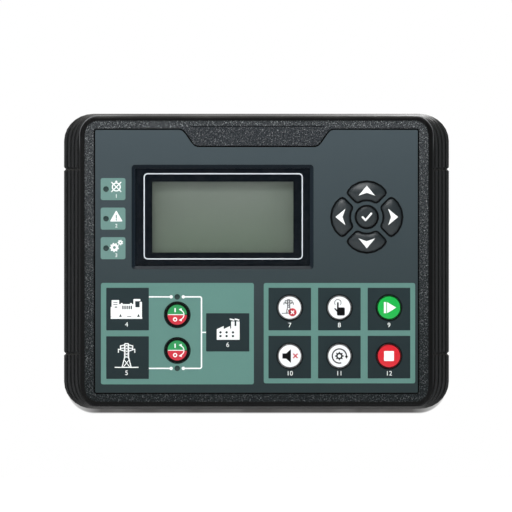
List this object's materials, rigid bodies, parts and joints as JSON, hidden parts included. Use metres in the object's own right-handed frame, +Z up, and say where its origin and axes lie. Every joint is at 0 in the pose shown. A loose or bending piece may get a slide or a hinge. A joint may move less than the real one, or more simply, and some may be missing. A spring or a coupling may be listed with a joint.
{
  "type": "genset controller",
  "caption": "Panel-mounted generator set controller: ribbed bezel, display window, arrow pad, breaker and mode keys, status lamps, rear terminals and side clips.",
  "frame": {"origin": "centre of the panel cut-out, in the plane of the gasket's rear face, where the panel's front surface lies", "axes": "+Y points through the panel to the rear, so the face looks along -Y; +Z is up; +X is to the right seen from the front"},
  "size_m": [0.24, 0.0546, 0.184],
  "materials": {
    "bezel_plastic": "spark-eroded black",
    "overlay_sheet": "printed satin sheet",
    "window_pane": "printed clear acrylic, black border",
    "lcd_glass": "grey-green display",
    "lcd_frame_steel": "plated sheet",
    "backlight_panel": "milky",
    "board_laminate": "green solder mask",
    "connector_plastic": "moulded",
    "housing_plastic": "fine grain",
    "gasket_rubber": "closed-cell sheet",
    "usb_shell": "plated",
    "key_green": "satin",
    "key_red": "satin",
    "key_white": "satin",
    "key_dark": "satin",
    "light_pipe": "smoked",
    "zinc_screw": "zinc plated",
    "clip_steel": "zinc plated",
    "clip_screw_steel": "yellow zinc",
    "header_plastic": "moulded",
    "plug_plastic": "moulded"
  },
  "bodies": {
    "controller": {"front_bezel": "bezel_plastic", "front_overlay": "overlay_sheet", "display_window": "window_pane", "lcd_glass": "lcd_glass", "lcd_frame": "lcd_frame_steel", "lcd_backlight": "backlight_panel", "front_board": "board_laminate", "io_board": "board_laminate", "board_link": "connector_plastic", "buzzer": "connector_plastic", "rear_housing": "housing_plastic", "panel_gasket": "gasket_rubber", "usb_port": "usb_shell", "lamp_alarm": "light_pipe", "lamp_warning": "light_pipe", "lamp_running": "light_pipe", "lamp_genset": "light_pipe", "lamp_mains": "light_pipe", "board_screw_1": "zinc_screw", "housing_screw_1": "zinc_screw", "mounting_clip_1": "clip_steel", "clip_screw_1": "clip_screw_steel", "board_screw_2": "zinc_screw", "housing_screw_2": "zinc_screw", "mounting_clip_2": "clip_steel", "clip_screw_2": "clip_screw_steel", "board_screw_3": "zinc_screw", "housing_screw_3": "zinc_screw", "mounting_clip_3": "clip_steel", "clip_screw_3": "clip_screw_steel", "board_screw_4": "zinc_screw", "housing_screw_4": "zinc_screw", "mounting_clip_4": "clip_steel", "clip_screw_4": "clip_screw_steel", "terminal_header_1": "header_plastic", "terminal_plug_1": "plug_plastic", "terminal_header_2": "header_plastic", "terminal_plug_2": "plug_plastic", "terminal_header_3": "header_plastic", "terminal_plug_3": "plug_plastic", "terminal_header_4": "header_plastic", "terminal_plug_4": "plug_plastic", "terminal_header_5": "header_plastic", "terminal_plug_5": "plug_plastic", "terminal_header_6": "header_plastic", "terminal_plug_6": "plug_plastic"},
    "up_key": {"key_up": "key_dark"},
    "left_key": {"key_left": "key_dark"},
    "down_key": {"key_down": "key_dark"},
    "right_key": {"key_right": "key_dark"},
    "ok_key": {"key_ok": "key_dark"},
    "genset_breaker_key": {"key_genset_breaker": "key_dark"},
    "mains_breaker_key": {"key_mains_breaker": "key_dark"},
    "test_on_load_key": {"key_test_on_load": "key_white"},
    "manual_key": {"key_manual": "key_white"},
    "start_key": {"key_start": "key_green"},
    "mute_key": {"key_mute": "key_white"},
    "auto_key": {"key_auto": "key_white"},
    "stop_key": {"key_stop": "key_red"}
  },
  "joints": [
    {"name": "press_up", "type": "slide", "parent": "controller", "child": "up_key", "axis": [0, 1, 0], "range_m": [0, 0.0008], "stiffness_N_per_m": 1000, "springref_m": -0.0008},
    {"name": "press_left", "type": "slide", "parent": "controller", "child": "left_key", "axis": [0, 1, 0], "range_m": [0, 0.0008], "stiffness_N_per_m": 1000, "springref_m": -0.0008},
    {"name": "press_down", "type": "slide", "parent": "controller", "child": "down_key", "axis": [0, 1, 0], "range_m": [0, 0.0008], "stiffness_N_per_m": 1000, "springref_m": -0.0008},
    {"name": "press_right", "type": "slide", "parent": "controller", "child": "right_key", "axis": [0, 1, 0], "range_m": [0, 0.0008], "stiffness_N_per_m": 1000, "springref_m": -0.0008},
    {"name": "press_ok", "type": "slide", "parent": "controller", "child": "ok_key", "axis": [0, 1, 0], "range_m": [0, 0.0008], "stiffness_N_per_m": 1000, "springref_m": -0.0008},
    {"name": "press_genset_breaker", "type": "slide", "parent": "controller", "child": "genset_breaker_key", "axis": [0, 1, 0], "range_m": [0, 0.0008], "stiffness_N_per_m": 1000, "springref_m": -0.0008},
    {"name": "press_mains_breaker", "type": "slide", "parent": "controller", "child": "mains_breaker_key", "axis": [0, 1, 0], "range_m": [0, 0.0008], "stiffness_N_per_m": 1000, "springref_m": -0.0008},
    {"name": "press_test_on_load", "type": "slide", "parent": "controller", "child": "test_on_load_key", "axis": [0, 1, 0], "range_m": [0, 0.0008], "stiffness_N_per_m": 1000, "springref_m": -0.0008},
    {"name": "press_manual", "type": "slide", "parent": "controller", "child": "manual_key", "axis": [0, 1, 0], "range_m": [0, 0.0008], "stiffness_N_per_m": 1000, "springref_m": -0.0008},
    {"name": "press_start", "type": "slide", "parent": "controller", "child": "start_key", "axis": [0, 1, 0], "range_m": [0, 0.0008], "stiffness_N_per_m": 1000, "springref_m": -0.0008},
    {"name": "press_mute", "type": "slide", "parent": "controller", "child": "mute_key", "axis": [0, 1, 0], "range_m": [0, 0.0008], "stiffness_N_per_m": 1000, "springref_m": -0.0008},
    {"name": "press_auto", "type": "slide", "parent": "controller", "child": "auto_key", "axis": [0, 1, 0], "range_m": [0, 0.0008], "stiffness_N_per_m": 1000, "springref_m": -0.0008},
    {"name": "press_stop", "type": "slide", "parent": "controller", "child": "stop_key", "axis": [0, 1, 0], "range_m": [0, 0.0008], "stiffness_N_per_m": 1000, "springref_m": -0.0008}
  ]
}
